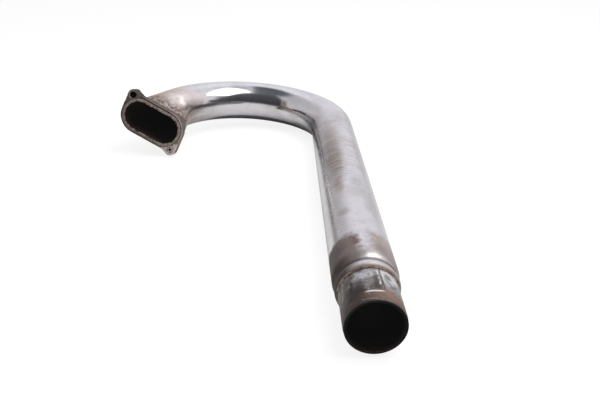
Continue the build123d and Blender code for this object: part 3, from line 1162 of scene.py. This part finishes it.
def evenPlate():
    # the plate's own shape, laid over with even faces
    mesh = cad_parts["port_flange"].data.copy()
    shape = bmesh.new()
    shape.from_mesh(mesh)
    bmesh.ops.remove_doubles(shape, verts=shape.verts, dist=flangeWear["mergeDistance"])
    shape.to_mesh(mesh)
    shape.free()
    mesh.materials.clear()
    piece = placed("portFlange", mesh)
    remesh = piece.modifiers.new("evenFaces", "REMESH")
    remesh.mode = "VOXEL"
    remesh.voxel_size = flangeWear["voxel"]
    relax = piece.modifiers.new("relaxed", "SMOOTH")
    relax.factor = flangeWear["relaxing"]
    relax.iterations = flangeWear["softening"]
    settle(piece)
    return piece


def convexity(mesh, points, normals):
    # how far each point stands out from its neighbours, in faces
    count = len(points)
    pairs = np.zeros(len(mesh.edges) * 2, int)
    mesh.edges.foreach_get("vertices", pairs)
    pairs = np.concatenate([pairs.reshape(-1, 2), pairs.reshape(-1, 2)[:, ::-1]])
    neighbours = np.bincount(pairs[:, 0], minlength=count)[:, None]

    def averaged(values):
        sums = [np.bincount(pairs[:, 0], values[pairs[:, 1], k], count) for k in range(values.shape[1])]
        return np.stack(sums, 1) / neighbours

    convex = ((points - averaged(points)) * normals).sum(1, keepdims=True) / flangeWear["voxel"]
    for _ in range(flangeWear["averaging"]):
        convex = averaged(convex)
    return convex[:, 0]


def wornFlange():
    wear, depths, shares = flangeWear, wearDepth, wearShare
    piece = evenPlate()
    mesh = piece.data
    count = len(mesh.vertices)
    points, normals = np.zeros(count * 3), np.zeros(count * 3)
    mesh.vertices.foreach_get("co", points)
    mesh.vertex_normals.foreach_get("vector", normals)
    points, normals = points.reshape(-1, 3), normals.reshape(-1, 3)
    along, aside, over = overFace(points)

    # crease round the lip, then washer marks at the stud holes and painted shade in their bores
    fromPort = np.hypot(np.maximum(np.abs(along) - route["portHalf"], 0), aside)
    fromCrease = (fromPort - outerTube["lipRadius"] - wear["creaseGap"]) / wear["creaseWidth"]
    crease = np.exp(-(fromCrease ** 2)) * (over > depths["crease"])
    washerAndLight, bore = np.zeros(count), np.zeros(count)
    for sign, share, darkness in studHoles:
        toStud = np.hypot(along - sign * wear["studAlong"], aside - sign * wear["studAside"])
        worn = ramp(toStud, *wear["washerEdge"]) + share * shares["haze"] * ramp(toStud, *wear["washerHaze"])
        washerAndLight += share * worn * (over > depths["washerAndLight"])
        bore += darkness * (toStud < wear["boreRadius"]) * (over < depths["bore"])
    # painted light: the plate's right end paler, most on its face, added to the washer marks
    pale = np.where(over > depths["pale"], shares["paleFace"], shares["paleSide"])
    washerAndLight += pale * ramp(along, *wear["paleEnd"])
    toUpperStud = np.hypot(along + wear["studAlong"], aside + wear["studAside"])
    upperEar = ramp(toUpperStud, *wear["upperEar"])
    # painted shade on the sides of the plate's left end
    shaded = shares["shaded"] * ramp(along, *wear["shadedEnd"]) * (over < depths["shaded"])
    grimeAndShade = shaded + crease + bore * shares["bore"] + upperEar * shares["upperEarGrime"]
    edges = convexity(mesh, points, normals) * shares["edge"] * (1 - shares["upperEarEdge"] * upperEar)
    for name, values in (("edgeWear", edges), ("creaseGrimeAndShade", grimeAndShade), ("washerWearAndLight", washerAndLight)):
        storeShare(mesh, name, values)

    # pits, deepest on the upper ear
    for v, n, scaly in zip(mesh.vertices, normals, upperEar):
        rough = noise.fractal(v.co / wear["pitSize"], *lumpNoise)
        depth = wear["pitDepth"] + wear["scaleDepth"] * scaly
        v.co -= Vector(n) * depth * (0.5 + 0.5 * max(-1.0, min(1.0, rough)))
    mesh.shade_smooth()
    mesh.materials.append(castingFinish())
    print("portFlange made,", len(mesh.polygons), "faces")
    return piece


portFlange = wornFlange()
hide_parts("port_flange")
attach(portFlange, "root")

# Dark clots in the stud holes, a dark fill standing in for the shade seen in them
studShadeClot = {
    "radius": 0.00345,
    "thickness": 0.0018,
    "fineness": 5,
    "bumps": 0.0005,
    "bumpScale": 2.2,
    "bumpShift": 5,
    "hollow": 0.0012,
    "hollowEdge": 0.0006,
    "hollowDepth": 0.0014,
    "crust": (0.62, 0.53, 0.51),
    "crumbs": (700, 5, 0.7),
    "oxideFrom": (0.45, 0.7),
    "crustFrom": (0.3, 0.5),
    "roughness": (0.75, 1.0),
    "relief": (0.6, 0.0004),
}


def studShadeFinish():
    look = studShadeClot
    material, tree, shader = newFinish("paintedStudShade")
    where = objectPlace(tree)
    crumbs = grain(where, *look["crumbs"])
    colour = blended(fade(crumbs, *look["oxideFrom"]), castingLook["grimeAndShade"], castingLook["oxide"])
    crust = times(ownValue(tree, "paleRing"), fade(crumbs, *look["crustFrom"]))
    colour = blended(crust, colour, look["crust"])
    dress(shader, colour, ranged(crumbs, *look["roughness"]))
    raised(shader, crumbs, *look["relief"])
    return material


def studShadePiece(name, sign, depth, material):
    # the lower clot is hollowed, with a pale ring
    clot = studShadeClot
    toHole = (faceSide * flangeWear["studAlong"] + faceUp * flangeWear["studAside"]) * sign
    middle = faceMiddle + toHole - faceOut * depth
    shift = Vector((0, 0, sign * clot["bumpShift"]))
    paleRing = []
    mesh = bpy.data.meshes.new(name)
    shape = bmesh.new()
    bmesh.ops.create_icosphere(shape, subdivisions=clot["fineness"], radius=1)
    for v in shape.verts:
        sideways, aside, out = v.co
        lump = noise.fractal(v.co * clot["bumpScale"] + shift, *lumpNoise) * clot["bumps"]
        fromMiddle = (sideways * sideways + aside * aside) ** 0.5 * clot["radius"]
        pale = smoothed((fromMiddle - clot["hollow"]) / clot["hollowEdge"]) * (sign > 0)
        paleRing.append(pale)
        lump -= clot["hollowDepth"] * (1 - pale) * (out > 0) * (sign > 0)
        level = (faceSide * sideways + faceUp * aside) * clot["radius"]
        v.co = middle + level + faceOut * (out * clot["thickness"] + lump)
    bmesh.ops.recalc_face_normals(shape, faces=shape.faces)
    shape.to_mesh(mesh)
    shape.free()
    mesh.shade_smooth()
    storeShare(mesh, "paleRing", np.array(paleRing))
    mesh.materials.append(material)
    return placed(name, mesh)


studShadeMaterial = studShadeFinish()
for name, sign, depth in (("lowerStudShade", 1, 0.0024), ("upperStudShade", -1, 0.0068)):
    piece = studShadePiece(name, sign, depth, studShadeMaterial)
    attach(piece, "root")
print("stud grime made")

# Camera, floor and light
shot = {
    "place": (0.050851, -0.519841, 0.243244),
    "right": (0.99968285, -0.02498587, 0.00314655),
    "down": (-0.0079779, -0.4327229, -0.90149168),
    "forward": (0.02388614, 0.90118067, -0.432785),
    "lens": 36.3,
    "sensor": 36,
    "clipStart": 0.01,
}
cameraData = bpy.data.cameras.new("camera")
cameraData.lens = shot["lens"]
cameraData.sensor_width = shot["sensor"]
cameraData.clip_start = shot["clipStart"]
camera = placed("camera", cameraData)
axes = Matrix((shot["right"], -Vector(shot["down"]), -Vector(shot["forward"]))).transposed()
camera.matrix_world = Matrix.Translation(Vector(shot["place"])) @ axes.to_4x4()
bpy.context.scene.camera = camera

studio = {
    "floorReach": 6,
    "floor": (0.9, 0.9, 0.9),
    "shownFloor": (0.26, 0.26, 0.26),
    "floorGlow": 0.84,
    "floorRoughness": 0.7,
    "light": 0.6,
    "lowLight": 0.12,
    "lightHeights": (4, 58),
    "lampPower": 9.0,
    "lampSize": 0.92,
    "lampPlace": (0.6, -0.1, 1.2),
    "lampAim": (0, 0.1, 0),
    "walls": (0.64, 0.63, 0.66),
    "white": (1.0, 1.0, 1.0),
}
# parts of the room, seen only as reflections, in degrees: middle and half width on the compass, then heights
roomParts = [
    {"middle": 22, "half": 40, "low": -10, "high": 64, "soft": 9, "colour": (0.81, 0.8, 0.85)},
    {"middle": -2, "half": 30, "low": 34, "high": 66, "soft": 8, "colour": (0.93, 0.93, 1.0)},
    {"middle": 92, "half": 38, "low": -8, "high": 60, "soft": 9, "colour": (0.87, 0.84, 0.85)},
    {"middle": 124, "half": 22, "low": -4, "high": 16, "soft": 5, "colour": (0.09, 0.086, 0.092)},
    {"middle": 132, "half": 16, "low": 4, "high": 34, "soft": 11, "colour": (0.09, 0.086, 0.092)},
    {"middle": -88, "half": 92, "low": 60, "high": 120, "soft": 7, "colour": (0.1, 0.11, 0.14)},
    {"middle": -172, "half": 56, "low": 3, "high": 63, "soft": 6, "colour": (0.05, 0.05, 0.058)},
]
reach = studio["floorReach"]
corners = [(-reach, -reach, 0), (reach, -reach, 0), (reach, reach, 0), (-reach, reach, 0)]
floorMesh = bpy.data.meshes.new("floor")
floorMesh.from_pydata(corners, [], [(0, 1, 2, 3)])
floor = placed("floor", floorMesh)
floorPaint, floorTree, floorShader = newFinish("paleFloor")
seenDirectly = addNode(floorTree, "ShaderNodeLightPath").outputs["Is Camera Ray"]
floorColour = blended(seenDirectly, studio["floor"], studio["shownFloor"])
feed(floorShader.inputs["Base Color"], floorColour)
floorShader.inputs["Roughness"].default_value = studio["floorRoughness"]
floorShader.inputs["Specular IOR Level"].default_value = 0.0
floorShader.inputs["Emission Color"].default_value = (*studio["white"], 1)
feed(floorShader.inputs["Emission Strength"], times(seenDirectly, studio["floorGlow"]))
floorMesh.materials.append(floorPaint)
floor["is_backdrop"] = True

world = bpy.data.worlds.new("studio")
world.use_nodes = True
room = world.node_tree
around = addNode(room, "ShaderNodeTexCoord").outputs["Generated"]
direction = addNode(room, "ShaderNodeSeparateXYZ", {0: around})
compass = times(maths("ARCTAN2", direction.outputs[0], direction.outputs[1]), 180 / pi)
heightAngle = times(maths("ARCSINE", direction.outputs[2]), 180 / pi)
walls = studio["walls"]
for part in roomParts:
    half, low, high, soft = (part[key] for key in ("half", "low", "high", "soft"))
    turned = maths("WRAP", maths("SUBTRACT", compass, part["middle"]), 180.0, -180.0)
    within = fade(maths("ABSOLUTE", turned), half + soft, half - soft)
    above = fade(heightAngle, low - soft, low + soft)
    below = fade(heightAngle, high + soft, high - soft)
    walls = blended(times(within, above, below), walls, part["colour"])
rays = addNode(room, "ShaderNodeLightPath").outputs
background = room.nodes["Background"]
feed(background.inputs[0], blended(rays["Is Glossy Ray"], studio["white"], walls))
seen = highest(rays["Is Camera Ray"], rays["Is Glossy Ray"])
fromAbove = ranged(fade(heightAngle, *studio["lightHeights"]), studio["lowLight"], 1.0)
feed(background.inputs[1], highest(seen, times(fromAbove, studio["light"])))
bpy.context.scene.world = world

lamp = bpy.data.lights.new("softbox", "AREA")
lamp.energy = studio["lampPower"]
lamp.size = studio["lampSize"]
softbox = placed("softbox", lamp)
softbox.location = studio["lampPlace"]
toAim = Vector(studio["lampAim"]) - softbox.location
softbox.rotation_euler = toAim.to_track_quat("-Z", "Y").to_euler()
bpy.context.scene.view_settings.view_transform = "Standard"
print("stage set")

low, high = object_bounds()
